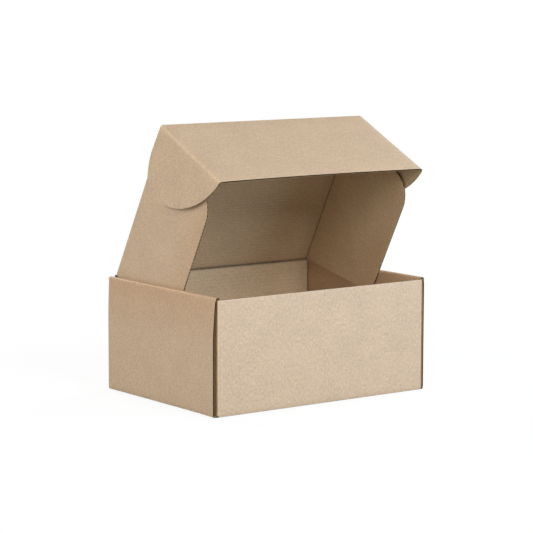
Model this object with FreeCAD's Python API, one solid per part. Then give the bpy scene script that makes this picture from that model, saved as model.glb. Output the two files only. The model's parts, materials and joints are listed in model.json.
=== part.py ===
import FreeCAD, Part
import math
import os

# Corrugated mailer box: a rolled-side tray, and a hinged lid with a tuck flap and two lock ears.
# Lengths are in millimetres. X runs along the front, Y to the back and Z up, with the origin
# on the floor under the middle of the tray. The lid stands partly open, as it was left.

# Board
board = 1.5
fold_inner_radius = 0.15
layer_gap = 0.2
hinge_gap = 0.15

# Tray
box_width = 223.0
box_depth = 164.0
side_height = 100.0
wall_height = 97.8
side_panel_recess = 2.5
side_top_recess = 1.0
side_top_depth = 3.0
inner_panel_recess = 1.2
corner_flap_length = 58.0
corner_flap_taper = 4.0

# Tabs of the inner side panels and their slots in the base
tab_spacing = 78.0
tab_length = 30.0
tab_slot_gap = 0.2
tab_floor_gap = 0.2

# Lid with its two dust flaps, measured from the hinge along the lid and down from its middle
lid_width = 208.8
lid_length = 157.2
lid_side_gap = 0.3
dust_depth = 92.6
dust_back_drop = 1.6
dust_back_start = 1.8
dust_back_taper = 28.0
dust_front_start = 154.6
dust_front_taper = 14.8
dust_back_radius = 15.0
dust_front_radius = 23.5

# Tuck flap and its two lock ears, measured down from the tuck fold and back from the ear fold
tuck_width = 216.8
tuck_depth = 94.4
tuck_end_drop = 1.6
tuck_wing_rise = 0.4
ear_length = 56.0
ear_top = 0.5
ear_foot = 95.6
ear_foot_length = 3.0
ear_curve_length = 34.5
ear_curve_drop = 75.5
ear_back_low = 33.0
ear_back_high = 19.0
ear_shoulder_start = 25.0
ear_shoulder_end = 47.0
ear_shoulder_drop = 7.5
ear_shoulder_bow = 1.0

# Pose in which the box stands
lid_open_angle = 60.83
tuck_fold_angle = 86.84
dust_splay = 1.1
ear_splay = 4.7

# Places that follow from the sizes
half_board = board / 2
fold_radius = half_board + fold_inner_radius
fold_outer_radius = board + fold_inner_radius
layer_pitch = board + layer_gap
outer_panel_x = box_width / 2 - half_board
corner_flap_x = outer_panel_x - layer_pitch
inner_panel_x = corner_flap_x - layer_pitch
corner_outer_x = corner_flap_x + half_board
wall_half_width = corner_outer_x - fold_outer_radius
wall_y = box_depth / 2 - half_board
panel_floor = board + layer_gap
hinge_y = wall_y
hinge_z = side_height - half_board
hinge_reach = half_board + hinge_gap
dust_x = lid_width / 2 - half_board
lid_fold_half_width = lid_width / 2 - fold_outer_radius
tuck_hollow_half_width = lid_width / 2 + lid_side_gap
ear_x = tuck_width / 2 - half_board
overcut = 5.0

X_AXIS = FreeCAD.Vector(1, 0, 0)
Y_AXIS = FreeCAD.Vector(0, 1, 0)
Z_AXIS = FreeCAD.Vector(0, 0, 1)
HINGE = FreeCAD.Vector(0, hinge_y, hinge_z)


def block(x0, x1, y0, y1, z0, z1):
    """Box between two values on each axis."""
    corner = FreeCAD.Vector(min(x0, x1), min(y0, y1), min(z0, z1))
    return Part.makeBox(abs(x1 - x0), abs(y1 - y0), abs(z1 - z0), corner)


def rod(start, direction, length):
    """Round bead of board thickness, on which a fold turns."""
    return Part.makeCylinder(half_board, length, start, direction)


def joined(shapes):
    """One clean solid from shapes that meet."""
    result = shapes[0].multiFuse(shapes[1:]).removeSplitter()
    return result.Solids[0]


def left_normal(direction):
    return FreeCAD.Vector(-direction.y, direction.x, 0)


def side_edges(corners, offset, place):
    """Edges of a folded middle line, moved sideways by offset, with an arc at each fold."""
    edges = []
    first = (corners[1] - corners[0]).normalize()
    here = corners[0] + left_normal(first) * offset
    for before, corner, after in zip(corners, corners[1:], corners[2:]):
        arriving = (corner - before).normalize()
        leaving = (after - corner).normalize()
        turn = arriving.getAngle(leaving)
        side = 1 if left_normal(arriving).dot(leaving) > 0 else -1
        reach = fold_radius * math.tan(turn / 2)
        start = corner - arriving * reach
        end = corner + leaving * reach
        centre = start + left_normal(arriving) * side * fold_radius
        outward = (corner - centre).normalize()
        middle = centre + outward * (fold_radius - side * offset)
        start = start + left_normal(arriving) * offset
        end = end + left_normal(leaving) * offset
        edges.append(Part.LineSegment(place(here), place(start)).toShape())
        edges.append(Part.Arc(place(start), place(middle), place(end)).toShape())
        here = end
    last = (corners[-1] - corners[-2]).normalize()
    finish = corners[-1] + left_normal(last) * offset
    edges.append(Part.LineSegment(place(here), place(finish)).toShape())
    return edges, corners[0] + left_normal(first) * offset, finish


def folded_board(points, place, extent):
    """Board whose section follows the points, drawn in its plane by place and pulled by extent."""
    corners = [FreeCAD.Vector(a, b, 0) for a, b in points]
    left, left_start, left_end = side_edges(corners, half_board, place)
    right, right_start, right_end = side_edges(corners, -half_board, place)
    start_cap = Part.LineSegment(place(left_start), place(right_start)).toShape()
    end_cap = Part.LineSegment(place(left_end), place(right_end)).toShape()
    outline = Part.Wire(Part.__sortEdges__(left + right + [start_cap, end_cap]))
    return Part.Face(outline).extrude(extent)


def outline_face(steps, place):
    """Face of an outline: each step is an end point, or a point on the arc and its end point."""
    edges = []
    here = steps[0][-1]
    for step in steps[1:] + steps[:1]:
        points = [place(FreeCAD.Vector(a, b, 0)) for a, b in (here,) + step]
        curve = Part.LineSegment(*points) if len(points) == 2 else Part.Arc(*points)
        edges.append(curve.toShape())
        here = step[-1]
    return Part.Face(Part.Wire(edges))


def rounded_corner(before, corner, after, radius):
    """Start, middle and end of the arc that rounds a corner of an outline."""
    point = FreeCAD.Vector(*corner, 0)
    back = (FreeCAD.Vector(*before, 0) - point).normalize()
    ahead = (FreeCAD.Vector(*after, 0) - point).normalize()
    half = back.getAngle(ahead) / 2
    reach = radius / math.tan(half)
    centre = point + (back + ahead).normalize() * (radius / math.sin(half))
    start = point + back * reach
    middle = centre + (point - centre).normalize() * radius
    end = point + ahead * reach
    return [(start.x, start.y), (middle.x, middle.y), (end.x, end.y)]


def front_to_back_strip():
    """Base with the front and back walls, as one folded strip."""
    points = [(-wall_y, wall_height), (-wall_y, half_board), (wall_y, half_board), (wall_y, hinge_z)]
    half = wall_half_width
    strip = folded_board(points, lambda p: FreeCAD.Vector(-half, p.x, p.y), X_AXIS * (2 * half))
    bead = rod(FreeCAD.Vector(-dust_x, hinge_y, hinge_z), X_AXIS, 2 * dust_x)
    for side in (-1, 1):
        strip = strip.cut(block(side * dust_x, side * box_width, hinge_y - board, hinge_y + board,
                                wall_height, side_height))
    return strip.fuse(bead)


def side_to_side_strip():
    """Base with both rolled side walls: outer panel, level top and inner panel."""
    top = side_height - half_board
    half = [(outer_panel_x, half_board), (outer_panel_x, top), (inner_panel_x, top),
            (inner_panel_x, panel_floor)]
    points = [(-a, b) for a, b in reversed(half)] + half
    reach = box_depth / 2 - side_top_recess
    strip = folded_board(points, lambda p: FreeCAD.Vector(p.x, -reach, p.y), Y_AXIS * (2 * reach))
    panel_end = box_depth / 2 - side_panel_recess
    inner_end = box_depth / 2 - board - inner_panel_recess
    inner_limit = corner_flap_x - half_board
    top_floor = side_height - board
    for side in (-1, 1):
        strip = strip.cut(block(-box_width, box_width, side * panel_end, side * box_depth,
                                0, side_height - side_top_depth))
        strip = strip.cut(block(-inner_limit, inner_limit, side * inner_end, side * box_depth,
                                panel_floor, top_floor - fold_inner_radius))
    return strip


def corner_flap(x_side, y_side):
    """Flap that turns off an end wall and stands between the two layers of a side wall."""
    start_x = wall_half_width - corner_flap_length / 2
    end_y = box_depth / 2 - corner_flap_length
    points = [(x_side * start_x, y_side * wall_y), (x_side * corner_flap_x, y_side * wall_y),
              (x_side * corner_flap_x, y_side * end_y)]
    flap = folded_board(points, lambda p: FreeCAD.Vector(p.x, p.y, panel_floor),
                        Z_AXIS * (wall_height - panel_floor))
    near_y = box_depth / 2 - board - fold_outer_radius
    wedge = Part.makePolygon([
        FreeCAD.Vector(0, y_side * near_y, panel_floor),
        FreeCAD.Vector(0, y_side * end_y, panel_floor),
        FreeCAD.Vector(0, y_side * end_y, panel_floor + corner_flap_taper),
        FreeCAD.Vector(0, y_side * near_y, panel_floor),
    ])
    taper = Part.Face(wedge).extrude(X_AXIS * (x_side * box_width))
    return flap.cut(taper)


def tab_and_slot(x_side, y_middle):
    """Tab below an inner side panel, and the hole that its slot makes in the base."""
    x0 = x_side * (inner_panel_x - half_board)
    x1 = x_side * (inner_panel_x + half_board)
    y0 = y_middle - tab_length / 2
    y1 = y_middle + tab_length / 2
    tab = block(x0, x1, y0, y1, tab_floor_gap, panel_floor + board)
    slot = block(x0 - x_side * tab_slot_gap, x1 + x_side * tab_slot_gap, y0 - tab_slot_gap,
                 y1 + tab_slot_gap, -overcut, panel_floor)
    return tab, slot


def make_tray():
    shell = [front_to_back_strip(), side_to_side_strip()]
    shell += [corner_flap(a, b) for a in (-1, 1) for b in (-1, 1)]
    tray = shell[0].multiFuse(shell[1:])
    pairs = [tab_and_slot(a, b * tab_spacing / 2) for a in (-1, 1) for b in (-1, 1)]
    for tab, slot in pairs:
        tray = tray.cut(slot)
    return joined([tray] + [tab for tab, slot in pairs])


def lid_outline():
    """Outline of the lid panel and a dust flap, seen along X: distance from the hinge, depth."""
    back_top = (dust_back_start, half_board)
    front_top = (dust_front_start, half_board)
    back_foot = (dust_back_start + dust_back_taper, dust_depth + dust_back_drop)
    front_foot = (dust_front_start - dust_front_taper, dust_depth)
    front = rounded_corner(front_top, front_foot, back_foot, dust_front_radius)
    back = rounded_corner(front_foot, back_foot, back_top, dust_back_radius)
    return [((hinge_reach, half_board),), ((hinge_reach, -board),), ((lid_length, -board),),
            ((lid_length, half_board),), (front_top,), (front[0],), (front[1], front[2]),
            (back[0],), (back[1], back[2]), (back_top,)]


def make_lid():
    """Lid panel with a dust flap folded down at each side, lying closed."""
    foot = dust_depth + dust_back_drop + board
    foot_x = dust_x + foot * math.tan(math.radians(dust_splay))
    points = [(-foot_x, -foot), (-dust_x, 0), (dust_x, 0), (foot_x, -foot)]

    def section(p):
        return FreeCAD.Vector(p.x, hinge_y - hinge_reach, hinge_z + p.y)

    sheet = folded_board(points, section, Y_AXIS * -(lid_length - hinge_reach))

    def side_view(p):
        return FreeCAD.Vector(-box_width, hinge_y - p.x, hinge_z - p.y)

    trimmed = sheet.common(outline_face(lid_outline(), side_view).extrude(X_AXIS * (2 * box_width)))
    start = FreeCAD.Vector(-lid_fold_half_width, hinge_y - lid_length, hinge_z)
    return joined([trimmed, rod(start, X_AXIS, 2 * lid_fold_half_width)])


def make_tuck_flap():
    """Front flap of the lid, with a bead at each end for its ears, folded square to the lid."""
    middle_y = hinge_y - lid_length
    half = ear_x

    def front_view(p):
        return FreeCAD.Vector(p.x, middle_y - half_board, hinge_z - p.y)

    foot = tuck_depth + tuck_end_drop
    outline = outline_face([((-half, -tuck_wing_rise),), ((half, -tuck_wing_rise),), ((half, foot),),
                            ((0, tuck_depth), (-half, foot))], front_view)
    panel = outline.extrude(Y_AXIS * board)
    for side in (-1, 1):
        start = FreeCAD.Vector(side * ear_x, middle_y, hinge_z - foot)
        panel = panel.fuse(rod(start, Z_AXIS, foot + tuck_wing_rise))
    width = tuck_hollow_half_width
    panel = panel.cut(Part.makeCylinder(hinge_reach, 2 * width,
                                        FreeCAD.Vector(-width, middle_y, hinge_z), X_AXIS))
    panel = panel.cut(block(-width, width, middle_y, middle_y + board, hinge_z - hinge_reach,
                            hinge_z + board))
    return joined([panel.cut(block(-width, width, middle_y - board, middle_y + board, hinge_z,
                                   hinge_z + board))])


def ear_outline():
    """Outline of a lock ear: distance behind its fold, depth below the tuck fold."""
    start = hinge_reach / 2
    bow = ((ear_shoulder_start + ear_shoulder_end) / 2,
           (ear_top + ear_shoulder_drop) / 2 - ear_shoulder_bow)
    shoulder = (ear_shoulder_end, ear_shoulder_drop)
    back = rounded_corner(bow, shoulder, (ear_length, ear_back_high), ear_length - ear_shoulder_end)
    return [((start, ear_top),), ((ear_shoulder_start, ear_top),), (bow, back[0]),
            (back[1], back[2]), ((ear_length, ear_back_high),), ((ear_length, ear_back_low),),
            ((ear_curve_length, ear_curve_drop), (ear_foot_length, ear_foot)),
            ((start, ear_foot),)]


def make_ear(side):
    """Lock ear folded back from one end of the tuck flap."""
    middle_y = hinge_y - lid_length

    def side_view(p):
        return FreeCAD.Vector(side * (ear_x - half_board), middle_y + p.x, hinge_z - p.y)

    ear = outline_face(ear_outline(), side_view).extrude(X_AXIS * (side * board))
    foot = ear_foot + board
    axis_foot = FreeCAD.Vector(side * ear_x, middle_y, hinge_z - foot)
    ear = ear.cut(Part.makeCylinder(hinge_reach, foot, axis_foot, Z_AXIS))
    ear = ear.cut(block(side * (ear_x - board), side * ear_x, middle_y - board,
                        middle_y + hinge_reach, hinge_z - foot, hinge_z))
    ear.rotate(axis_foot, Z_AXIS, -side * ear_splay)
    return joined([ear])


def posed(shape, with_tuck):
    """Shape turned from the closed box to the way it stands."""
    shape = shape.copy()
    if with_tuck:
        fold = FreeCAD.Vector(0, hinge_y - lid_length, hinge_z)
        shape.rotate(fold, X_AXIS, tuck_fold_angle - 90)
    shape.rotate(HINGE, X_AXIS, -lid_open_angle)
    return shape


def main():
    nodes = {
        "tray": make_tray(),
        "lid": posed(make_lid(), False),
        "tuck_flap": posed(make_tuck_flap(), True),
        "left_lock_ear": posed(make_ear(-1), True),
        "right_lock_ear": posed(make_ear(1), True),
    }
    os.makedirs("parts", exist_ok=True)
    for name, shape in nodes.items():
        shape.exportStep("parts/" + name + ".step")


main()
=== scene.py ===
import json
import math
import bpy
import numpy as np
from mathutils import Euler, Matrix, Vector
from mathutils.geometry import delaunay_2d_cdt


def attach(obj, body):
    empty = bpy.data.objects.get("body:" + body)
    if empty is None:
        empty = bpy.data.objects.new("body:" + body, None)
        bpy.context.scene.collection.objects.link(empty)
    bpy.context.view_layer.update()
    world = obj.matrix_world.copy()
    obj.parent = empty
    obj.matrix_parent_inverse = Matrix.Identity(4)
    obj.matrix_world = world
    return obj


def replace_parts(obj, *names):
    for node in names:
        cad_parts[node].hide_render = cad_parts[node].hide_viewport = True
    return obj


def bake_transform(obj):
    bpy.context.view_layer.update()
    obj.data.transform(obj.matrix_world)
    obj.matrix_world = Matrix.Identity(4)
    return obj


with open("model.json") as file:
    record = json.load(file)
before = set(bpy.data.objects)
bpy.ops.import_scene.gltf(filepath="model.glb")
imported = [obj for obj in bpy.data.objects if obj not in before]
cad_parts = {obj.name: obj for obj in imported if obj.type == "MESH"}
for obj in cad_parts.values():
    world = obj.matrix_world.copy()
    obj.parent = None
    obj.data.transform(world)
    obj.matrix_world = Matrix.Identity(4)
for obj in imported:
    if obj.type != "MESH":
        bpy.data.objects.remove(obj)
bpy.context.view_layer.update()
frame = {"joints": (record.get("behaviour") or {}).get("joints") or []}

# Plain kraft mailer box. Every piece is a part of one flat blank of fluted board: it is cut out
# flat, then folded by a placing function, so that fibres and flutes run on across the folds.
# On the blank, u runs along the flutes and v from the front wall to the tuck flap, and w goes
# through the board, towards the inside of the box. Lengths are in metres.

# Board. A level says how far through it a point is, from -1 outside to 1 inside. FOLD_PRESS is
# the share of the thickness that a fold takes, and CUT_SQUEEZE the share that a cut edge keeps.
BOARD = 0.0015
HALF = BOARD / 2
LAYER_PITCH = BOARD
FOLD_RADIUS = 0.0007
FOLD_PRESS = 0.40
FOLD_REACH = 0.0035
CUT_SQUEEZE = 0.88
GROOVE = 0.0009
RIM = 0.0007
LINER_LEVEL = 0.80
FLUTE_PITCH = 0.0033
FLUTE_LEVEL = 0.58
FLUTE_INSET = 0.00006
FLUTE_RIM = 0.5
MEDIUM = 0.00016
MEDIUM_LEVEL = MEDIUM / 2 / HALF

# Levels and depths of the lines along a cut edge, and the section of the fluted paper in it
EDGE_STACK = ((-1, 0), (-1, 1), (1, 1), (1, 0))
FLUTE_SECTION = ((FLUTE_INSET, -MEDIUM_LEVEL), (FLUTE_INSET, MEDIUM_LEVEL),
                 (GROOVE, MEDIUM_LEVEL), (GROOVE, -MEDIUM_LEVEL))

# Tray
WIDTH = 0.223
DEPTH = 0.164
SIDE_HEIGHT = 0.100
WALL_HEIGHT = 0.0978
SIDE_END = DEPTH / 2 - 0.0014
TOP_END = DEPTH / 2 - 0.0008
TOP_DEPTH = 0.0030
INNER_END = DEPTH / 2 - BOARD - 0.0012
INNER_SETBACK = 0.0002
PANEL_FLOOR = BOARD + 0.0002
CORNER_FLAP = 0.058
CORNER_TAPER = 0.004
CORNER_FOOT = 0.0024
TAB_MIDDLE = 0.039
TAB_HALF = 0.015
SLOT_GAP = 0.0002
TAB_FLOOR = 0.0002
SHOULDER = 0.0006

# How far the sides stand off: the outer panels by so much, and up to that share of their height,
# more at their front ends, and the inner panels near the front wall
LEFT_BULGE = 0.0026
LEFT_RISE = 0.32
RIGHT_BULGE = 0.0008
RIGHT_RISE = 0.06
RISE_CURVE = 0.8
MIDDLE_SHARE = 0.2
FRONT_SHARE = 0.8
BACK_SHARE = 0.2
END_CURVE = 4
INNER_BULGE = 0.0008
INNER_BULGE_REACH = 0.024
INNER_BULGE_FLOOR = PANEL_FLOOR + 0.001

# How far the front wall's ends and the corner flap behind its left end move, and how soon
FRONT_NIP = 0.0006
NIP_CURVE = 3
NIP_FADE = 0.0035
FRONT_STAND = 0.0008
STAND_CURVE = 8
STAND_FADE = 0.0022
FLAP_TUCK = 0.0009
TUCK_START = 0.0015
TUCK_FADE = 0.020
SLACK_RISE = 0.004

# Lid with its dust flaps: distance from the hinge, and depth below the lid's middle
DUST_X = 0.2088 / 2 - HALF
LID_LENGTH = 0.1572
DUST_DEPTH = 0.0926
DUST_BACK_DROP = 0.0016
DUST_FOOT = DUST_DEPTH + DUST_BACK_DROP
DUST_BACK_START = 0.0015
DUST_BACK_TAPER = 0.028
DUST_FRONT_START = 0.1546
DUST_FRONT_TAPER = 0.0148
DUST_BACK_RADIUS = 0.015
DUST_FRONT_RADIUS = 0.0235
DUST_SPLAY = math.radians(1.1)
LID_DRIFT = 0.0023
LID_DRIFT_END = 0.095
HINGE_REACH = DUST_X + 0.0012

# Tuck flap and ears: distance behind the ear fold, and depth below the tuck fold
EAR_X = 0.2168 / 2 - HALF
TUCK_DEPTH = 0.0944
TUCK_DROP = 0.0016
TUCK_TOP = 0.0008
TUCK_HOLLOW = 0.2088 / 2 + 0.0001
EAR_LENGTH = 0.056
EAR_TOP = 0.0014
EAR_FOOT = (0.003, 0.0956)
EAR_CURVE = (0.0345, 0.0755)
EAR_BACK_LOW = 0.033
EAR_BACK_HIGH = 0.019
EAR_SHOULDER = (0.025, 0.047)
EAR_SHOULDER_DROP = 0.0075
EAR_SHOULDER_BOW = 0.001
EAR_SPLAY = math.radians(4.7)

# Places that follow from the sizes. CREASE is half the width of a fold that moves.
OUTER_X = WIDTH / 2 - HALF
CORNER_X = OUTER_X - LAYER_PITCH
INNER_X = CORNER_X - LAYER_PITCH
WALL_HALF_WIDTH = CORNER_X - FOLD_RADIUS
WALL_Y = DEPTH / 2 - HALF
TOP_Z = SIDE_HEIGHT - HALF
CREASE = TOP_Z - WALL_HEIGHT

# Mesh density and tolerances
GRID_STEP = 0.006
EDGE_STEP = 0.003
ARC_STEPS = 24
FOLD_STEPS = 6
FOLD_ROWS = (0.0006, 0.0016, FOLD_REACH)
CREASE_STEPS = 5
FLUTE_STEPS = 12
FLUTE_SLOPE = 0.3
CLEARANCE = 0.00022
GRID_CLEARANCE = 0.0001
RIM_CLEARANCE = RIM * 1.5
MITRE_LEAST = 0.3
STRETCH_LEAST = 0.6
FLAP_MARGIN = 0.001
TINY = 1e-6
ROUNDING = 1e-7

# Finishes, by their slots on a piece of board
OUTER, INNER, CUT, FLUTED = range(4)

# Patterns of the paper: scale along and across the flutes, detail, seed and roughness. The first
# four also have what they add to the tone and to the relief.
LAYERS = {
    "clouds": ((38, 38, 0), 3, 3.1, 0.55, 0.045, 0.0003),
    "mottle": ((230, 200, 0), 3, 7.7, 0.60, 0.055, 0.00006),
    "fibres": ((760, 400, 0), 4, 11.3, 0.75, 0.230, 0.00005),
    "grain": ((1900, 1900, 0), 2, 5.9, 0.55, 0.130, 0.00003),
}
FLUTE_PATCHES = ((30, 90, 0), 2, 41.0, 0.55)
WARM_PATCHES = ((420, 300, 0), 3, 31.0, 0.55)
DARK_SPECKS = ((760, 620, 0), 1, 17.0, 0.55)
PALE_SPECKS = ((520, 420, 0), 1, 23.0, 0.55)
SEED_SLANT = 0.7

# Ranges of a pattern or of the closeness to a fold, and what they become where that isn't 0 to 1
PATTERN_SWING = (0.3, 0.7, -1, 1)
FLUTE_RANGE = (0.35, 0.65, 0.2, 1.0)
WARM_RANGE = (0.28, 0.72)
DARK_RANGE = (0.73, 0.80)
PALE_RANGE = (0.74, 0.82)
# Closeness to a fold where the worn band and score line show, partly painted light: a painted highlight
# on outer folds, painted shade in inner creases
FOLD_WEAR_LIGHT_SHADE_RANGE = (0.5, 1.0)
FOLD_WEAR_LIGHT_SHADE_PATCHES = (0.35, 0.6, 0.5, 1.0)
SCORE_LIGHT_SHADE_RANGE = (0.85, 1.35)
DARK_TONE = -0.16
PALE_TONE = 0.10
RIM_TONE = 0.05
ROUGHNESS_SWING = 0.05
FLUTE_RELIEF = 0.002
LINER_SPECULAR = 0.8

# Painted shade, as the lid and its dust flaps cast it: the paper is darker and warmer towards the rolled
# tops of the sides
ROLL_RANGE = (0.165, 0.212)
ROLL_PAINTED_SHADE = (0.93, 0.83, 0.75, 1)

# Raw paper inside the board
FUZZ_SCALE = 1800.0
FUZZ_DETAIL = 3.0
FUZZ_TONE = 0.5
FUZZ_BASE = 0.75
FUZZ_RELIEF = 0.0002
FUZZ_STRENGTH = 0.6
HOLLOW_FADE = 0.06
RAW_ROUGHNESS = 0.9
RAW_SPECULAR = 0.1

# Folds that move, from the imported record
JOINTS = {joint["name"]: joint for joint in frame["joints"]}
HINGE = Vector(JOINTS["lid_hinge"]["pos_m"])
TUCK_FOLD = Vector(JOINTS["tuck_flap_fold"]["pos_m"])
ACROSS = Vector((1, 0, 0))
UP = Vector((0, 0, 1))
INTO_BOX = Vector((0, -1, 0))
LID_ALONG = (TUCK_FOLD - HINGE).normalized()
LID_INWARD = ACROSS.cross(LID_ALONG)
TUCK_DOWN = Vector(JOINTS["right_ear_fold"]["axis"]).normalized()
TUCK_INWARD = ACROSS.cross(TUCK_DOWN)


# Folded lines and outlines

def spread(low, high, step):
    """Even values from low to high, no further apart than step."""
    count = max(1, math.ceil((high - low) / step - TINY))
    return [low + (high - low) * i / count for i in range(count + 1)]


def thinned(values, low, high):
    """Sorted values between low and high without near doubles."""
    kept = []
    for value in sorted(values):
        inside = low - ROUNDING <= value <= high + ROUNDING
        if inside and (not kept or value - kept[-1] > GRID_CLEARANCE):
            kept.append(value)
    return kept


def clamped(value):
    """Value kept between 0 and 1."""
    return min(1.0, max(0.0, value))


def near(gap):
    """Closeness to a fold at that distance, from 0 to 1."""
    return clamped(1 - abs(gap) / FOLD_REACH)


class FoldedLine:
    """Middle line of a folded board: straight runs joined by arcs, measured from its middle."""

    def __init__(self, corners):
        points = [Vector(c) for c in corners]
        headings = [(b - a).normalized() for a, b in zip(points, points[1:])]
        turns = [-a.angle_signed(b) for a, b in zip(headings, headings[1:])] + [0.0]
        self.runs = []
        self.reaches = []
        self.bends = []
        here = 0.0
        reach = 0.0
        for a, b, heading, turn in zip(points, points[1:], headings, turns):
            next_reach = FOLD_RADIUS * math.tan(abs(turn) / 2)
            length = (b - a).length - reach - next_reach
            self.runs.append((here, length, a + heading * reach, heading))
            self.reaches.append(reach)
            here += length
            self.bends.append((here, FOLD_RADIUS * abs(turn), turn))
            here += FOLD_RADIUS * abs(turn)
            reach = next_reach
        self.end = here / 2
        self.folds = [(start - self.end, length) for start, length, turn in self.bends if turn]

    def at(self, run, distance):
        """Length along the board of the point at that distance from the run's first corner."""
        return self.runs[run][0] + distance - self.reaches[run] - self.end

    def place(self, along):
        """Point of the middle line and the normal on its left."""
        s = along + self.end
        for (start, length, origin, heading), (fold, arc, turn) in zip(self.runs, self.bends):
            normal = Vector((-heading.y, heading.x))
            if s <= fold or not turn:
                return origin + heading * (s - start), normal
            if s <= fold + arc:
                side = math.copysign(1, turn)
                angle = (s - fold) / FOLD_RADIUS
                entry = origin + heading * length
                turned = normal * math.cos(angle) - heading * (side * math.sin(angle))
                return entry + (normal - turned) * (side * FOLD_RADIUS), turned

    def grid(self, low, high):
        """Grid values along the line: even on its runs, close together at its folds."""
        values = spread(low, high, GRID_STEP)
        for start, length in self.folds:
            values += [start + length * i / FOLD_STEPS for i in range(FOLD_STEPS + 1)]
            values += [start - row for row in FOLD_ROWS]
            values += [start + length + row for row in FOLD_ROWS]
        return thinned(values, low, high)

    def closeness(self, value):
        """Closeness to the nearest fold: 0 to 1 beside it, and up to 2 in its middle."""
        halves = [(start + length / 2, length / 2) for start, length in self.folds]
        gaps = [(abs(value - middle) - half, half) for middle, half in halves]
        return max(near(gap) if gap > 0 else 1 - gap / half for gap, half in gaps)


def arc_through(start, middle, end):
    """Points of the circular arc after its start."""
    a, m, b = Vector(start), Vector(middle), Vector(end)
    double = 2 * (a.x * (m.y - b.y) + m.x * (b.y - a.y) + b.x * (a.y - m.y))
    aa, mm, bb = a.dot(a), m.dot(m), b.dot(b)
    centre = Vector(((aa * (m.y - b.y) + mm * (b.y - a.y) + bb * (a.y - m.y)) / double,
                     (aa * (b.x - m.x) + mm * (a.x - b.x) + bb * (m.x - a.x)) / double))
    radius = (a - centre).length
    angles = [math.atan2(p.y - centre.y, p.x - centre.x) for p in (a, m, b)]
    sweep = (angles[2] - angles[0]) % (2 * math.pi)
    if (angles[1] - angles[0]) % (2 * math.pi) > sweep:
        sweep -= 2 * math.pi
    steps = [angles[0] + sweep * (i + 1) / ARC_STEPS for i in range(ARC_STEPS)]
    return [(centre.x + radius * math.cos(t), centre.y + radius * math.sin(t)) for t in steps]


def rounded_corner(before, corner, after, radius):
    """Points of the arc that rounds a corner."""
    point = Vector(corner)
    back = (Vector(before) - point).normalized()
    ahead = (Vector(after) - point).normalized()
    half = back.angle(ahead) / 2
    reach = radius / math.tan(half)
    centre = point + (back + ahead).normalized() * (radius / math.sin(half))
    start = point + back * reach
    middle = centre + (point - centre).normalized() * radius
    return [tuple(start)] + arc_through(start, middle, point + ahead * reach)


# Flat patterns

def split_loop(loop, us, vs):
    """Loop with extra points where it crosses the grid lines, and along its slanted edges."""
    points = []
    for a, b in zip(loop, loop[1:] + loop[:1]):
        length = math.dist(a, b)
        slanted = min(abs(b[0] - a[0]), abs(b[1] - a[1])) > ROUNDING
        count = max(1, round(length / EDGE_STEP)) if slanted else 1
        cuts = [i / count for i in range(count)]
        for lines, p, q in ((us, a[0], b[0]), (vs, a[1], b[1])):
            if abs(q - p) > ROUNDING:
                cuts += [(g - p) / (q - p) for g in lines if min(p, q) < g < max(p, q)]
        last = None
        for t in sorted(cuts):
            if last is None or ((t - last) * length > CLEARANCE and (1 - t) * length > CLEARANCE):
                points.append((a[0] + (b[0] - a[0]) * t, a[1] + (b[1] - a[1]) * t))
                last = t
    return points


def within(points, loop):
    """Whether each point lies in the loop."""
    hit = np.zeros(len(points), bool)
    for a, b in zip(loop, np.roll(loop, -1, axis=0)):
        if a[1] != b[1]:
            beside = (a[1] > points[:, 1]) != (b[1] > points[:, 1])
            crossing = a[0] + (points[:, 1] - a[1]) * (b[0] - a[0]) / (b[1] - a[1])
            hit ^= beside & (points[:, 0] < crossing)
    return hit


def distance_to(points, loop):
    """Distance of each point from the loop."""
    nearest = np.full(len(points), np.inf)
    for a, b in zip(loop, np.roll(loop, -1, axis=0)):
        edge = b - a
        t = np.clip((points - a) @ edge / max(edge @ edge, ROUNDING ** 2), 0, 1)
        nearest = np.minimum(nearest, np.linalg.norm(points - a - t[:, None] * edge, axis=1))
    return nearest


def rim_ring(loop, inward):
    """Points a rim's width from the loop, on its inner side or, for a hole, on its outer side."""
    before = loop - np.roll(loop, 1, axis=0)
    after = np.roll(loop, -1, axis=0) - loop
    before /= np.linalg.norm(before, axis=1)[:, None]
    after /= np.linalg.norm(after, axis=1)[:, None]
    normal = np.stack([-before[:, 1] - after[:, 1], before[:, 0] + after[:, 0]], axis=1)
    normal /= np.maximum(np.linalg.norm(normal, axis=1), MITRE_LEAST)[:, None]
    facing = -before[:, 1] * normal[:, 0] + before[:, 0] * normal[:, 1]
    return loop + normal * (inward * RIM / np.maximum(STRETCH_LEAST, facing))[:, None]


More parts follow.
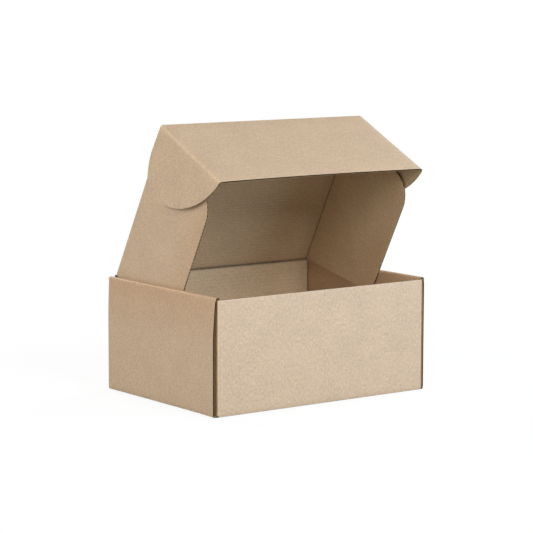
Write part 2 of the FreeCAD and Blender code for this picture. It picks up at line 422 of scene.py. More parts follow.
def flat_pattern(loops, us, vs):
    """Points and triangles of a flat cut-out. The first loop is its outline, run anticlockwise,
    and the others are holes."""
    outline, *holes = loops
    rings = [rim_ring(outline, 1)] + [rim_ring(hole, -1) for hole in holes]
    grid = np.array([(u, v) for u in us for v in vs])
    inner = np.concatenate([grid] + rings)
    clear = within(inner, outline) & (distance_to(inner, outline) > CLEARANCE)
    beside = distance_to(grid, outline) < RIM_CLEARANCE
    for hole in holes:
        clear &= ~within(inner, hole) & (distance_to(inner, hole) > CLEARANCE)
        beside |= distance_to(grid, hole) < RIM_CLEARANCE
    clear[:len(grid)] &= ~beside
    edges = []
    first = 0
    for loop in loops:
        count = len(loop)
        edges += [(first + i, first + (i + 1) % count) for i in range(count)]
        first += count
    flat = [Vector(p) for p in np.concatenate(loops + [inner[clear]])]
    points, _, faces = delaunay_2d_cdt(flat, edges, [], 1, ROUNDING)[:3]
    points = np.array([tuple(p) for p in points])
    triangles = np.array([face for face in faces if len(face) == 3])
    middles = points[triangles].mean(axis=1)
    kept = within(middles, outline)
    for hole in holes:
        kept &= ~within(middles, hole)
    triangles = triangles[kept]
    a, b, c = (points[triangles[:, i]] for i in range(3))
    turned = (b[:, 0] - a[:, 0]) * (c[:, 1] - a[:, 1]) < (b[:, 1] - a[:, 1]) * (c[:, 0] - a[:, 0])
    triangles[turned] = triangles[turned][:, ::-1]
    used = sorted(set(triangles.ravel().tolist()))
    number = {old: new for new, old in enumerate(used)}
    return points[used], [[number[i] for i in triangle] for triangle in triangles.tolist()]


def boundary(triangles):
    """Edges of the pattern that only one triangle has, each in that triangle's direction."""
    directed = {(t[i], t[(i + 1) % 3]) for t in triangles for i in range(3)}
    return [(a, b) for a, b in directed if (b, a) not in directed]


def fluted_runs(loops, seam):
    """Stretches of the cut edges that cross the flutes, as closely spaced points, each with the
    direction into the board."""
    runs = []
    for number, loop in enumerate(loops):
        side = 1 if number == 0 else -1
        run = []
        for a, b in zip(loop, np.roll(loop, -1, axis=0)):
            edge = b - a
            length = np.linalg.norm(edge)
            crosses = abs(edge[1]) > FLUTE_SLOPE * length
            if not crosses or seam(*((a + b) / 2)):
                if len(run) > 1:
                    runs.append(run)
                run = []
                continue
            inward = np.array((-edge[1], edge[0])) / length * side
            steps = max(1, round(abs(edge[1]) / FLUTE_PITCH * FLUTE_STEPS))
            run += [(a + edge * i / steps, inward) for i in range(steps + 1)]
        if len(run) > 1:
            runs.append(run)
    return runs


# Pieces of board

class BoardMesh:
    """Closed mesh of a piece of board. place(u, v, w) gives a point in space, marks(u, v) the
    closeness to a fold, where the board is pressed thin, and offset is the pattern's place on
    the blank."""

    def __init__(self, place, marks, offset):
        self.place = place
        self.marks = marks
        self.offset = offset
        self.vertices = []
        self.blank = []
        self.crease = []
        self.rim = []
        self.faces = []
        self.slots = []
        self.sharp = set()

    def add(self, u, v, level, squeeze=1.0, at_rim=0.0):
        """Add a vertex and give its number."""
        mark = self.marks(u, v)
        pressed = 1 - FOLD_PRESS * min(1.0, mark) ** 3
        self.vertices.append(tuple(self.place(u, v, HALF * squeeze * pressed * level)))
        self.blank.append((u + self.offset[0], v + self.offset[1], level))
        self.crease.append(mark)
        self.rim.append(at_rim)
        return len(self.vertices) - 1

    def add_face(self, corners, slot):
        """Add a face with the finish in that slot."""
        self.faces.append(corners)
        self.slots.append(slot)

    def add_liners(self, points, triangles, open_edge):
        """Both faces of the board, squeezed a little where the edge is open."""
        for level in (-1.0, 1.0):
            for i, point in enumerate(points):
                if i in open_edge:
                    self.add(*point, level, CUT_SQUEEZE, 1.0)
                else:
                    self.add(*point, level)
        for triangle in triangles:
            self.add_face(triangle[::-1], OUTER)
        for triangle in triangles:
            self.add_face([i + len(points) for i in triangle], INNER)

    def add_edges(self, points, rim, whole):
        """Edge between both faces, hollow except where the board runs on into another piece."""
        inward = {i: np.zeros(2) for edge in rim for i in edge}
        for a, b in rim:
            edge = points[b] - points[a]
            normal = np.array((-edge[1], edge[0])) / np.linalg.norm(edge)
            inward[a] = inward[a] + normal
            inward[b] = inward[b] + normal
        stacks = {}
        for i in sorted(inward):
            direction = inward[i] / max(np.linalg.norm(inward[i]), ROUNDING)
            squeeze, groove = (1.0, 0.0) if i in whole else (CUT_SQUEEZE, GROOVE)
            stacks[i] = [i]
            for side, depth in EDGE_STACK:
                point = points[i] + direction * (groove * depth)
                stacks[i].append(self.add(*point, side * LINER_LEVEL, squeeze, 1.0))
            stacks[i].append(i + len(points))
        for a, b in rim:
            lines = list(zip(stacks[a], stacks[b]))
            for (low_a, low_b), (high_a, high_b) in zip(lines, lines[1:]):
                self.add_face([low_a, low_b, high_b, high_a], CUT)
            self.sharp.update(frozenset(line) for line in lines)

    def add_flutes(self, run):
        """Fluted paper that shows in a cut edge."""
        rings = []
        for (u, v), (to_u, to_v) in run:
            wave = FLUTE_LEVEL * math.sin(2 * math.pi * (v + self.offset[1]) / FLUTE_PITCH)
            ring = []
            for depth, level in FLUTE_SECTION:
                place = (u + to_u * depth, v + to_v * depth)
                ring.append(self.add(*place, wave + level, CUT_SQUEEZE, FLUTE_RIM))
            rings.append(ring)
        for here, after in zip(rings, rings[1:]):
            for k in range(4):
                self.add_face([here[k], after[k], after[(k + 1) % 4], here[(k + 1) % 4]], FLUTED)
        self.add_face(rings[0], FLUTED)
        self.add_face(rings[-1][::-1], FLUTED)

    def finished(self, name):
        """Object with this mesh, its finishes, and its place on the blank for the paper."""
        mesh = bpy.data.meshes.new(name)
        mesh.from_pydata(self.vertices, [], self.faces)
        mesh.polygons.foreach_set("material_index", self.slots)
        mesh.polygons.foreach_set("use_smooth", [True] * len(self.faces))
        sharp = [frozenset(edge.vertices) in self.sharp for edge in mesh.edges]
        mesh.attributes.new("sharp_edge", "BOOLEAN", "EDGE").data.foreach_set("value", sharp)
        blank = np.array(self.blank, np.float32).ravel()
        mesh.attributes.new("blank", "FLOAT_VECTOR", "POINT").data.foreach_set("vector", blank)
        for key, values in (("crease", self.crease), ("rim", self.rim)):
            mesh.attributes.new(key, "FLOAT", "POINT").data.foreach_set("value", values)
        mesh.validate()
        mesh.update()
        if signed_volume(mesh) < 0:
            mesh.flip_normals()
        for finish in (OUTER_LINER, INNER_LINER, CUT_EDGE, FLUTED_PAPER):
            mesh.materials.append(finish)
        piece = bpy.data.objects.new(name, mesh)
        bpy.context.scene.collection.objects.link(piece)
        return piece


def signed_volume(mesh):
    """Volume of a closed mesh, below 0 where its faces look inwards."""
    total = 0.0
    for face in mesh.polygons:
        corners = [mesh.vertices[i].co for i in face.vertices]
        for b, c in zip(corners[1:], corners[2:]):
            total += corners[0].dot(b.cross(c))
    return total


def board_piece(name, outline, us, vs, place, marks, seam, holes=(), offset=(0, 0)):
    """Cut and folded piece of board, with the flutes open at its cut edges. seam(u, v) says
    where the board runs on into another piece."""
    loops = [np.array(split_loop(loop, us, vs)) for loop in (outline, *holes)]
    points, triangles = flat_pattern(loops, us, vs)
    rim = boundary(triangles)
    cut = {i for edge in rim for i in edge}
    whole = {i for i in cut if seam(*points[i])}
    board = BoardMesh(place, marks, offset)
    board.add_liners(points, triangles, cut - whole)
    board.add_edges(points, rim, whole)
    for run in fluted_runs(loops, seam):
        board.add_flutes(run)
    return board.finished(name)


# Finishes

def add_node(tree, kind, inputs=None, **settings):
    """Node with its settings and inputs. An input is a value or another node's output."""
    node = tree.nodes.new("ShaderNode" + kind)
    for key, value in settings.items():
        setattr(node, key, value)
    for key, value in (inputs or {}).items():
        socket = node.inputs[key]
        if isinstance(value, bpy.types.NodeSocket):
            tree.links.new(value, socket)
        else:
            socket.default_value = value
    return node


class Paper:
    """New material for paper, with short ways to add nodes."""

    def __init__(self, name):
        self.material = bpy.data.materials.new(name)
        self.material.use_nodes = True
        self.tree = self.material.node_tree
        self.shader = self.tree.nodes["Principled BSDF"]
        self.blank = self.attribute("blank").outputs["Vector"]

    def node(self, kind, inputs=None, **settings):
        return add_node(self.tree, kind, inputs, **settings)

    def attribute(self, name):
        return self.node("Attribute", attribute_name=name)

    def maths(self, operation, *values):
        return self.node("Math", dict(enumerate(values)), operation=operation).outputs[0]

    def pattern(self, scale, detail, seed, roughness):
        """Noise on the blank."""
        shift = (seed, seed * SEED_SLANT, 0)
        shifted = self.node("Mapping", {"Vector": self.blank, "Location": shift, "Scale": scale})
        texture = self.node("TexNoise", {"Vector": shifted.outputs[0], "Scale": 1.0, "Detail": detail,
                                         "Roughness": roughness})
        return texture.outputs["Fac"]

    def level(self, value, low, high, to_low=0.0, to_high=1.0):
        """Value stretched from one range to another, and kept within it."""
        ranged = self.node("MapRange", {"Value": value, "From Min": low, "From Max": high,
                                        "To Min": to_low, "To Max": to_high})
        return ranged.outputs["Result"]

    def mix(self, factor, first, second):
        """Colour between two colours."""
        mixed = self.node("Mix", {"Factor": factor, "A": first, "B": second}, data_type="RGBA")
        return mixed.outputs["Result"]

    def paint(self, colour, tone):
        """Use that colour, made lighter or darker by the tone."""
        tinted = self.node("VectorMath", {0: colour, "Scale": tone}, operation="SCALE")
        self.tree.links.new(tinted.outputs["Vector"], self.shader.inputs["Base Color"])

    def emboss(self, height, strength=1.0, distance=1.0):
        """Use that height as relief on the surface."""
        bump = self.node("Bump", {"Height": height, "Strength": strength, "Distance": distance})
        self.tree.links.new(bump.outputs["Normal"], self.shader.inputs["Normal"])


def kraft(name, first, second, roughness, washboard, fold_tone, score_light_and_shade_tone):
    """Kraft liner in patches of two colours: clouds of pulp, fibres, specks, the flutes showing through,
    and along the folds a worn band and a scored line, which also carry painted light: a painted
    highlight along the outer liner's folds and painted shade in the inner liner's creases."""
    paper = Paper(name)
    along, across = (paper.node("SeparateXYZ", {0: paper.blank}).outputs[axis] for axis in "XY")
    crease = paper.attribute("crease").outputs["Fac"]
    flutes = paper.maths("SINE", paper.maths("MULTIPLY", across, 2 * math.pi / FLUTE_PITCH))
    flutes = paper.maths("MULTIPLY", flutes, paper.level(paper.pattern(*FLUTE_PATCHES), *FLUTE_RANGE))
    tone = 1.0
    relief = paper.maths("MULTIPLY", flutes, washboard * FLUTE_RELIEF)
    layers = {}
    for key, (scale, detail, seed, rough, share, height) in LAYERS.items():
        layers[key] = paper.pattern(scale, detail, seed, rough)
        tone = paper.maths("MULTIPLY_ADD", paper.level(layers[key], *PATTERN_SWING), share, tone)
        relief = paper.maths("MULTIPLY_ADD", layers[key], height, relief)
    # Band along the folds: wear, plus a painted highlight on outer folds and painted shade in inner
    # creases
    fold_wear_light_and_shade = paper.maths("MULTIPLY", paper.level(crease, *FOLD_WEAR_LIGHT_SHADE_RANGE),
                       paper.level(layers["mottle"], *FOLD_WEAR_LIGHT_SHADE_PATCHES))
    for value, share in (
            (flutes, washboard),
            (paper.level(paper.pattern(*DARK_SPECKS), *DARK_RANGE), DARK_TONE),
            (paper.level(paper.pattern(*PALE_SPECKS), *PALE_RANGE), PALE_TONE),
            (fold_wear_light_and_shade, fold_tone),
            (paper.level(crease, *SCORE_LIGHT_SHADE_RANGE), score_light_and_shade_tone),
            (paper.attribute("rim").outputs["Fac"], RIM_TONE)):
        tone = paper.maths("MULTIPLY_ADD", value, share, tone)
    warmth = paper.level(paper.pattern(*WARM_PATCHES), *WARM_RANGE)
    # Painted shade of the lid: darker and warmer towards the rolled tops of the sides
    towards_roll = paper.level(paper.maths("ABSOLUTE", along), *ROLL_RANGE)
    colour = paper.node("VectorMath", {0: paper.mix(warmth, (*first, 1), (*second, 1)),
                                       1: paper.mix(towards_roll, (1, 1, 1, 1), ROLL_PAINTED_SHADE)},
                        operation="MULTIPLY")
    paper.paint(colour.outputs["Vector"], tone)
    swing = paper.level(layers["mottle"], *PATTERN_SWING)
    rough = paper.maths("MULTIPLY_ADD", swing, ROUGHNESS_SWING, roughness)
    paper.tree.links.new(rough, paper.shader.inputs["Roughness"])
    paper.emboss(relief)
    paper.shader.inputs["Specular IOR Level"].default_value = LINER_SPECULAR
    return paper.material


def raw_paper(name, shade, hollow):
    """Raw paper inside the board: fuzzy, and away from the liners darkened by the hollow factor, as
    painted shade in the open flutes.
    """
    paper = Paper(name)
    through = paper.node("SeparateXYZ", {0: paper.blank}).outputs["Z"]
    away = paper.maths("ABSOLUTE", through)
    # Painted shade: the paper between the liners is darkened by the hollow factor
    liner = paper.level(away, LINER_LEVEL, LINER_LEVEL + HOLLOW_FADE, hollow, 1.0)
    fuzz = paper.node("TexNoise", {"Vector": paper.blank, "Scale": FUZZ_SCALE, "Detail": FUZZ_DETAIL})
    fuzz = fuzz.outputs["Fac"]
    tone = paper.maths("MULTIPLY_ADD", fuzz, FUZZ_TONE, FUZZ_BASE)
    paper.paint(shade, paper.maths("MULTIPLY", tone, liner))
    paper.emboss(fuzz, FUZZ_STRENGTH, FUZZ_RELIEF)
    paper.shader.inputs["Roughness"].default_value = RAW_ROUGHNESS
    paper.shader.inputs["Specular IOR Level"].default_value = RAW_SPECULAR
    return paper.material


# Fold and score tones: lighter on the outer liner as wear with a painted highlight, darker on the inner
# liner as painted shade in the creases
OUTER_LINER = kraft("kraft_outer_liner", (0.555, 0.409, 0.231), (0.533, 0.376, 0.267), roughness=0.55,
                    washboard=0.003, fold_tone=0.03, score_light_and_shade_tone=0.08)
INNER_LINER = kraft("kraft_inner_liner", (0.580, 0.432, 0.232), (0.562, 0.398, 0.252), roughness=0.70,
                    washboard=0.023, fold_tone=-0.12, score_light_and_shade_tone=-0.62)
# The cut edge's groove between the liners gets painted shade, at a tenth of its colour
CUT_EDGE = raw_paper("kraft_cut_edge", (0.48, 0.33, 0.17), hollow=0.10)
FLUTED_PAPER = raw_paper("kraft_flutes", (0.46, 0.32, 0.18), hollow=1.0)


# Tray. Its runs are counted along each line from the left or from the front.

SIDE_LINE = FoldedLine([(-INNER_X, PANEL_FLOOR), (-INNER_X, TOP_Z), (-OUTER_X, TOP_Z), (-OUTER_X, HALF),
                        (OUTER_X, HALF), (OUTER_X, TOP_Z), (INNER_X, TOP_Z), (INNER_X, PANEL_FLOOR)])
WALL_LINE = FoldedLine([(-WALL_Y, TOP_Z), (-WALL_Y, HALF), (WALL_Y, HALF), (WALL_Y, TOP_Z)])
CORNER_LINE = FoldedLine([(-CORNER_X, CORNER_FLAP - DEPTH / 2), (-CORNER_X, -WALL_Y),
                          (CORNER_X, -WALL_Y), (CORNER_X, CORNER_FLAP - DEPTH / 2)])
RIGHT_OUTER_PANEL = 4
RIGHT_INNER_PANEL = 6
BACK_WALL = 2
RIGHT_CORNER_FLAP = 2
WALL_TOP = WALL_LINE.at(BACK_WALL, WALL_HEIGHT - HALF)
HINGE_V = WALL_LINE.at(BACK_WALL, TOP_Z - HALF)
TUCK_V = HINGE_V + LID_LENGTH
CORNER_FOLD = CORNER_LINE.folds[1][0]


def on_sides(u, v):
    """Whether that point of the blank is between the walls, or on a side beyond their flaps."""
    return abs(v) <= SIDE_END + TINY or abs(u) > CORNER_LINE.end + FLAP_MARGIN


def at_hinge(u):
    """Whether the back wall goes on into the lid's hinge there."""
    return -HINGE_REACH - TINY < u < HINGE_REACH + LID_DRIFT + TINY


def side_bulge(x, y, z):
    """How far the panels of a rolled side stand off: outer ones at both ends, inner at the front."""
    below = max(0.0, 1 - z / TOP_Z)
    bulge, rise = (RIGHT_BULGE, RIGHT_RISE) if x > 0 else (LEFT_BULGE, LEFT_RISE)
    outer = max(0.0, (abs(x) - CORNER_X) / (OUTER_X - CORNER_X))
    share = FRONT_SHARE if y < 0 else BACK_SHARE
    ends = MIDDLE_SHARE + share * min(1.0, abs(y) / SIDE_END) ** END_CURVE
    out = bulge * outer * ends * min(1.0, below / rise) ** RISE_CURVE
    inner = clamped((CORNER_X - abs(x)) / (CORNER_X - INNER_X))
    front = max(0.0, 1 - (y + SIDE_END) / INNER_BULGE_REACH) if z > INNER_BULGE_FLOOR else 0.0
    dent = INNER_BULGE * inner * front ** 2 * below * (1 - below) * 4
    return math.copysign(out - dent, x)


def corner_slack(u, v):
    """How far the front wall's right end and the flap behind its left end stand in, and the
    front wall's left end out."""
    rise = clamped((-v - SIDE_END) / SLACK_RISE)
    behind = max(0.0, abs(u) - CORNER_FOLD)
    along = abs(u) / WALL_HALF_WIDTH
    if u > 0:
        return -FRONT_NIP * rise * min(1.0, along) ** NIP_CURVE * max(0.0, 1 - behind / NIP_FADE)
    stand = FRONT_STAND * min(1.0, along) ** STAND_CURVE * max(0.0, 1 - behind / STAND_FADE)
    tuck = FLAP_TUCK * min(1.0, behind / TUCK_START) * max(0.0, 1 - behind / TUCK_FADE)
    return rise * (tuck - stand)


def place_tray(u, v, w):
    """Point of the folded tray."""
    if on_sides(u, v):
        point, normal = SIDE_LINE.place(u)
        x = point.x + normal.x * w + side_bulge(point.x, v, point.y)
        return Vector((x, v, point.y + normal.y * w))
    point, normal = WALL_LINE.place(v)
    slack = corner_slack(u, v)
    if abs(u) <= WALL_HALF_WIDTH:
        return Vector((u + slack, point.x + normal.x * w, point.y + normal.y * w))
    corner, normal = CORNER_LINE.place(u)
    back = math.copysign(1, -v)
    return Vector((corner.x + normal.x * w + slack, back * (corner.y + normal.y * w), point.y))


def tray_marks(u, v):
    """Closeness to the folds of the tray."""
    if on_sides(u, v):
        folds = SIDE_LINE.closeness(u)
        return folds if abs(u) > WALL_HALF_WIDTH else max(folds, WALL_LINE.closeness(v))
    if abs(u) > WALL_HALF_WIDTH:
        return CORNER_LINE.closeness(u)
    hinge = near(v - WALL_TOP) if at_hinge(u) else 0.0
    return max(WALL_LINE.closeness(v), CORNER_LINE.closeness(u), hinge)


def make_tray():
    """Tray: base, front and back walls with their corner flaps, and the two rolled sides."""
    floor_v = WALL_LINE.at(BACK_WALL, PANEL_FLOOR - HALF)
    taper_u = CORNER_LINE.at(RIGHT_CORNER_FLAP, CORNER_FOOT)
    flap_end = CORNER_LINE.end
    taper_v = floor_v + CORNER_TAPER
    tongue_start = SIDE_LINE.at(RIGHT_OUTER_PANEL, SIDE_HEIGHT - TOP_DEPTH - HALF)
    inner_start = SIDE_LINE.at(RIGHT_INNER_PANEL, FOLD_RADIUS + INNER_SETBACK)
    panel_end = SIDE_LINE.end
    tab_end = panel_end + PANEL_FLOOR - TAB_FLOOR
    tab_near = TAB_MIDDLE - TAB_HALF
    tab_far = TAB_MIDDLE + TAB_HALF
    hinge_end = HINGE_REACH + LID_DRIFT
    quarter = [(panel_end, tab_near), (tab_end, tab_near), (tab_end, tab_far), (panel_end, tab_far),
               (panel_end, INNER_END), (inner_start, INNER_END), (inner_start, TOP_END),
               (tongue_start, TOP_END), (tongue_start, SIDE_END), (WALL_HALF_WIDTH, SIDE_END),
               (WALL_HALF_WIDTH, floor_v), (taper_u, floor_v), (flap_end, taper_v),
               (flap_end, WALL_TOP)]
    back = quarter[:-1] + [(flap_end, WALL_TOP + SHOULDER), (hinge_end, WALL_TOP + SHOULDER),
                           (hinge_end, WALL_TOP), (HINGE_REACH, WALL_TOP)]
    outline = back + [(-u, v) for u, v in reversed(back)]
    outline += [(-u, -v) for u, v in quarter] + [(u, -v) for u, v in reversed(quarter)]
    slot_near = tab_near - SLOT_GAP
    slot_far = tab_far + SLOT_GAP
    slot_in = INNER_X - HALF - SLOT_GAP
    slot_out = INNER_X + HALF + SLOT_GAP
    holes = []
    for left, right in ((-slot_out, -slot_in), (slot_in, slot_out)):
        for low, high in ((-slot_far, -slot_near), (slot_near, slot_far)):
            holes.append([(left, low), (right, low), (right, high), (left, high)])
    us = thinned(SIDE_LINE.grid(-tab_end, tab_end) + CORNER_LINE.grid(-flap_end, flap_end),
                 -tab_end, tab_end)
    rows = [SIDE_END, TOP_END, INNER_END, slot_near, slot_far]
    vs = thinned(WALL_LINE.grid(-WALL_TOP, WALL_TOP) + rows + [-v for v in rows], -WALL_TOP, WALL_TOP)

    def joins_hinge(u, v):
        return v > WALL_TOP - TINY and at_hinge(u)

    return board_piece("tray_board", outline, us, vs, place_tray, tray_marks, joins_hinge, holes)


# Lid

FOOT_X = DUST_X + DUST_FOOT * math.tan(DUST_SPLAY)
LID_LINE = FoldedLine([(-FOOT_X, -DUST_FOOT), (-DUST_X, 0), (DUST_X, 0), (FOOT_X, -DUST_FOOT)])
LID_EDGE = LID_LINE.folds[1][0]
RIGHT_DUST_FLAP = 2


def depth_at(depth):
    """Length along the lid's section of the point at a depth below the lid, on its right."""
    return LID_LINE.at(RIGHT_DUST_FLAP, depth / math.cos(DUST_SPLAY))


def place_lid(u, s, w):
    """Point of the lid: u along its section, s from the hinge."""
    point, normal = LID_LINE.place(u)
    x = point.x - normal.x * w
    down = -point.y + normal.y * w
    if u > 0:
        slack = max(0.0, 1 - s / LID_DRIFT_END) * max(0.0, 1 - down / DUST_FOOT)
        x += LID_DRIFT * slack * min(1.0, u / LID_EDGE)
    return HINGE + ACROSS * x + LID_ALONG * s + LID_INWARD * down


def make_lid():
    """Lid panel with both dust flaps."""
    back_top = (DUST_BACK_START, HALF)
    front_top = (DUST_FRONT_START, HALF)
    back_foot = (DUST_BACK_START + DUST_BACK_TAPER, DUST_FOOT)
    front_foot = (DUST_FRONT_START - DUST_FRONT_TAPER, DUST_DEPTH)
    side = [back_top] + rounded_corner(back_top, back_foot, front_foot, DUST_BACK_RADIUS)
    side += rounded_corner(back_foot, front_foot, front_top, DUST_FRONT_RADIUS) + [front_top]
    right = [(LID_EDGE, CREASE)] + [(depth_at(d), s) for s, d in side]
    right += [(LID_EDGE, LID_LENGTH - CREASE)]
    outline = right + [(-u, s) for u, s in reversed(right)]
    us = LID_LINE.grid(-LID_LINE.end, LID_LINE.end)
    vs = spread(CREASE, LID_LENGTH - CREASE, GRID_STEP)

    def joins_crease(u, s):
        return not CREASE + TINY < s < LID_LENGTH - CREASE - TINY

    def marks(u, s):
        return max(LID_LINE.closeness(u), near(s - CREASE), near(LID_LENGTH - CREASE - s))

    return board_piece("lid_board", outline, us, vs, place_lid, marks, joins_crease,
                       offset=(0, HINGE_V))


# Tuck flap and ears

def foot_at(u):
    """Depth of the tuck flap's free edge, which bows up in the middle."""
    return TUCK_DEPTH + TUCK_DROP * (u / EAR_X) ** 2


def place_tuck(u, d, w):
    """Point of the tuck flap: d below the tuck fold."""
    return TUCK_FOLD + ACROSS * u + TUCK_DOWN * d + TUCK_INWARD * w


def make_tuck_flap():
    """Tuck flap, whose upper corners stand beside the tuck fold."""
    edge = EAR_X - CREASE
    foot = foot_at(edge)
    outline = [(edge, TUCK_TOP), (edge, foot)] + arc_through((edge, foot), (0, TUCK_DEPTH), (-edge, foot))
    outline += [(-edge, TUCK_TOP), (-TUCK_HOLLOW, TUCK_TOP), (-TUCK_HOLLOW, CREASE),
                (TUCK_HOLLOW, CREASE), (TUCK_HOLLOW, TUCK_TOP)]
    us = spread(-edge, edge, GRID_STEP)
    vs = spread(CREASE, TUCK_DEPTH + TUCK_DROP, GRID_STEP)

    def joins_crease(u, d):
        return abs(u) > edge - TINY or (abs(d - CREASE) < TINY and abs(u) < TUCK_HOLLOW - TINY)

    def marks(u, d):
        return max(near(d - CREASE) if abs(u) < TUCK_HOLLOW else 0.0, near(edge - abs(u)))

    return board_piece("tuck_flap_board", outline, us, vs, place_tuck, marks, joins_crease,
                       offset=(0, TUCK_V))


def ear_frame(side):
    """Directions of an ear: away from its fold, and towards the inside of the box."""
    behind = TUCK_INWARD * math.cos(EAR_SPLAY) + ACROSS * (side * math.sin(EAR_SPLAY))
    inward = TUCK_INWARD * math.sin(EAR_SPLAY) - ACROSS * (side * math.cos(EAR_SPLAY))
    return behind, inward


def make_ear(side, name):
    """Lock ear at the left (-1) or right (1) end of the tuck flap."""
    behind, inward = ear_frame(side)
    fold = TUCK_FOLD + ACROSS * (side * EAR_X)
    start, end = EAR_SHOULDER
    bow = ((start + end) / 2, (EAR_TOP + EAR_SHOULDER_DROP) / 2 - EAR_SHOULDER_BOW)
    corner = rounded_corner(bow, (end, EAR_SHOULDER_DROP), (EAR_LENGTH, EAR_BACK_HIGH), EAR_LENGTH - end)
    shape = [(CREASE, EAR_TOP), (start, EAR_TOP)] + arc_through((start, EAR_TOP), bow, corner[0])
    shape += corner[1:] + [(EAR_LENGTH, EAR_BACK_HIGH), (EAR_LENGTH, EAR_BACK_LOW)]
    shape += arc_through((EAR_LENGTH, EAR_BACK_LOW), EAR_CURVE, EAR_FOOT) + [(CREASE, EAR_FOOT[1])]
    outline = [(side * (EAR_X + e), h) for e, h in shape]
    if side < 0:
        outline.reverse()
    us = spread(min(u for u, h in outline), max(u for u, h in outline), GRID_STEP)
    vs = spread(EAR_TOP, EAR_FOOT[1], GRID_STEP)

    def place(u, h, w):
        return fold + behind * (abs(u) - EAR_X) + TUCK_DOWN * h + inward * w

    def marks(u, h):
        return near(abs(u) - EAR_X - CREASE)

    def joins_crease(u, h):
        return abs(u) < EAR_X + CREASE + TINY

    return board_piece(name, outline, us, vs, place, marks, joins_crease, offset=(0, TUCK_V))


# Creases that move

def make_crease(name, fold, axis, before, inward, turn, outline, offset, side=0, drift=0.0):
    """Bent strip of board at a moving fold. It follows an arc that leaves the first panel along
    before and turns towards inward. side is 0 for a fold along the flutes, and otherwise the end
    of the tuck flap that it is at."""
    radius = CREASE / math.tan(turn / 2)

    def along_and_across(u, v):
        return (v, side * u) if side else (u, v)

    def place(u, v, w):
        q, t = along_and_across(u, v)
        angle = turn * (t + CREASE) / (2 * CREASE)
        point = before * (radius * math.sin(angle) - CREASE) + inward * (radius * (1 - math.cos(angle)))
        normal = inward * math.cos(angle) - before * math.sin(angle)
        return fold + axis * (q + drift * clamped(q / LID_EDGE)) + point + normal * w

    def seam(u, v):
        return abs(along_and_across(u, v)[1]) > CREASE - TINY

    def marks(u, v):
        return 1 + (1 - abs(along_and_across(u, v)[1]) / CREASE) ** 2

    ends = [along_and_across(u, v)[0] for u, v in outline]
    along = spread(min(ends), max(ends), GRID_STEP)
    across = spread(-CREASE, CREASE, CREASE / CREASE_STEPS)
    us, vs = (across, along) if side else (along, across)
    return board_piece(name, outline, us, vs, place, marks, seam, offset=offset)


def strip(reach):
    """Outline of a crease that runs along the flutes, as far on both sides of the middle."""
    return [(-reach, -CREASE), (reach, -CREASE), (reach, CREASE), (-reach, CREASE)]


tray = make_tray()
lid = make_lid()
tuck_flap = make_tuck_flap()
left_ear = make_ear(-1, "left_ear_board")
right_ear = make_ear(1, "right_ear_board")
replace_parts(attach(tray, "tray"), "tray")
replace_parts(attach(lid, "lid"), "lid")
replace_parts(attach(tuck_flap, "tuck_flap"), "tuck_flap")
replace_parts(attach(left_ear, "left_lock_ear"), "left_lock_ear")
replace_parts(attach(right_ear, "right_lock_ear"), "right_lock_ear")

hinge = make_crease("lid_hinge_crease", HINGE, ACROSS, UP, INTO_BOX, UP.angle(LID_ALONG),
                    strip(HINGE_REACH), (0, HINGE_V), drift=LID_DRIFT)
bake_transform(hinge)
tuck_crease = make_crease("tuck_flap_crease", TUCK_FOLD, ACROSS, LID_ALONG, LID_INWARD,
                          LID_ALONG.angle(TUCK_DOWN), strip(TUCK_HOLLOW), (0, TUCK_V))
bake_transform(tuck_crease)
for side, name, body in ((-1, "left_ear_crease", "left_lock_ear"),
                         (1, "right_ear_crease", "right_lock_ear")):
    behind, inward = ear_frame(side)
    outward = ACROSS * side
    fold = TUCK_FOLD + outward * EAR_X
    start_u = -side * CREASE
    outline = [(start_u, foot_at(EAR_X - CREASE)), (start_u, TUCK_TOP),
               (-start_u, EAR_TOP), (-start_u, EAR_FOOT[1])]
    if side < 0:
        outline.reverse()
    ear_crease = make_crease(name, fold, TUCK_DOWN, outward, TUCK_INWARD, outward.angle(behind), outline,
                             (side * EAR_X, TUCK_V), side)
    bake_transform(ear_crease)


# Stage: white floor and surroundings, soft lamps, and a camera at the photograph's angle

WHITE = (1, 1, 1, 1)
FLOOR_SIZE = 12
FLOOR_DROP = 0.0002
FLOOR_BOUNCE = (0.45, 0.45, 0.45, 1)
SHADOW_START = 0.16
SHADOW_END = 0.45
SHADOW_WHITE = 0.86
WORLD_LIGHT = 0.1
LAMP_DISTANCE = 2.2
LAMP_AIM = Vector((0, 0, 0.1))

CAMERA_PLACE = (-1.15908, -1.56652, 0.36634)
CAMERA_TURN = -36.50
CAMERA_DIP = 7.53
CAMERA_ROLL = 0.14
CAMERA_VIEW = 13.514
SENSOR = 36
FARTHEST = 50

# Name, degrees from the front towards the right, degrees up, size, power and colour
LAMPS = (
    ("key", 38, 10, 1.2, 25, (0.86, 1, 1.20)),
    ("front", 0, 30, 0.8, 24.5, (0.97, 1, 1.06)),
    ("left_front", -60, 14, 0.8, 10, (1, 1, 1)),
    ("left", -85, 25, 1.2, 23.5, (1, 1, 1)),
    ("right", 100, 25, 1.2, 24, (1, 1, 1)),
    ("back", 180, 25, 1.2, 24, (1, 1, 1)),
)


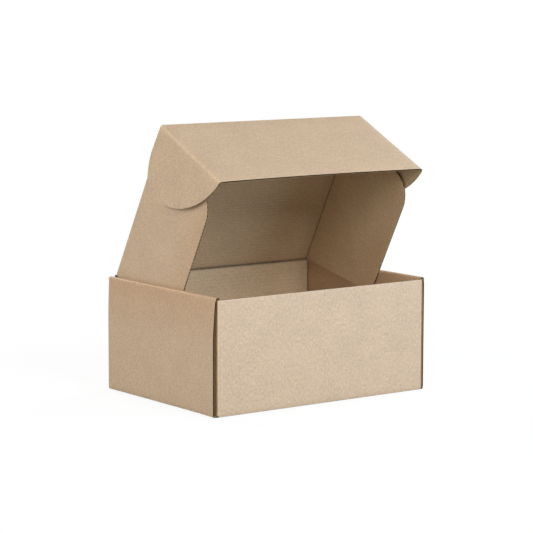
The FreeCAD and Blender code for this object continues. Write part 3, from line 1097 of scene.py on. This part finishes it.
def white_floor():
    """Floor that the camera sees as white, with the box's shadow on it."""
    material = bpy.data.materials.new("white_floor")
    material.use_nodes = True
    tree = material.node_tree
    tree.nodes.remove(tree.nodes["Principled BSDF"])
    seen = add_node(tree, "LightPath").outputs["Is Camera Ray"]
    tint = add_node(tree, "Mix", {"Factor": seen, "A": FLOOR_BOUNCE, "B": WHITE}, data_type="RGBA")
    paint = add_node(tree, "BsdfDiffuse", {"Color": tint.outputs["Result"]})
    glow = add_node(tree, "Emission", {"Color": WHITE, "Strength": 1.0})
    spot = add_node(tree, "NewGeometry").outputs["Position"]
    away = add_node(tree, "VectorMath", {0: spot}, operation="LENGTH").outputs["Value"]
    white = add_node(tree, "MapRange", {"Value": away, "From Min": SHADOW_START, "From Max": SHADOW_END,
                                        "To Min": SHADOW_WHITE, "To Max": 1.0},
                     interpolation_type="SMOOTHSTEP").outputs["Result"]
    share = add_node(tree, "Math", {0: seen, 1: white}, operation="MULTIPLY")
    mix = add_node(tree, "MixShader", {"Fac": share.outputs[0], 1: paint.outputs[0], 2: glow.outputs[0]})
    tree.links.new(mix.outputs[0], tree.nodes["Material Output"].inputs["Surface"])
    bpy.ops.mesh.primitive_plane_add(size=FLOOR_SIZE, location=(0, 0, -FLOOR_DROP))
    floor = bpy.context.object
    floor.name = "floor"
    floor.data.materials.append(material)


def surroundings():
    """Plain world that is white to the camera and lights the box evenly."""
    world = bpy.data.worlds.new("studio")
    world.use_nodes = True
    bpy.context.scene.world = world
    tree = world.node_tree
    light = tree.nodes["Background"]
    light.inputs["Color"].default_value = WHITE
    light.inputs["Strength"].default_value = WORLD_LIGHT
    white = add_node(tree, "Background", {"Color": WHITE, "Strength": 1.0})
    seen = add_node(tree, "LightPath").outputs["Is Camera Ray"]
    mix = add_node(tree, "MixShader", {"Fac": seen, 1: light.outputs[0], 2: white.outputs[0]})
    tree.links.new(mix.outputs[0], tree.nodes["World Output"].inputs["Surface"])


def softbox(name, azimuth, elevation, size, power, colour):
    """Square lamp that faces the box."""
    lamp = bpy.data.lights.new(name, "AREA")
    lamp.shape = "SQUARE"
    lamp.size = size
    lamp.energy = power
    lamp.color = colour
    holder = bpy.data.objects.new(name, lamp)
    bpy.context.scene.collection.objects.link(holder)
    turn, rise = math.radians(azimuth), math.radians(elevation)
    away = Vector((math.sin(turn) * math.cos(rise), -math.cos(turn) * math.cos(rise), math.sin(rise)))
    holder.location = LAMP_AIM + away * LAMP_DISTANCE
    holder.rotation_euler = (-away).to_track_quat("-Z", "Y").to_euler()


def camera():
    """Camera where the photograph's camera stood."""
    data = bpy.data.cameras.new("camera")
    data.sensor_width = SENSOR
    data.lens = SENSOR / 2 / math.tan(math.radians(CAMERA_VIEW) / 2)
    data.clip_end = FARTHEST
    holder = bpy.data.objects.new("camera", data)
    bpy.context.scene.collection.objects.link(holder)
    holder.location = CAMERA_PLACE
    look = Euler((math.radians(90 - CAMERA_DIP), 0, math.radians(CAMERA_TURN)), "XYZ").to_matrix()
    roll = Euler((0, 0, math.radians(CAMERA_ROLL)), "XYZ").to_matrix()
    holder.rotation_euler = (look @ roll).to_euler()
    bpy.context.scene.camera = holder


white_floor()
surroundings()
for lamp in LAMPS:
    softbox(*lamp)
camera()
bpy.context.scene.view_settings.view_transform = "Standard"
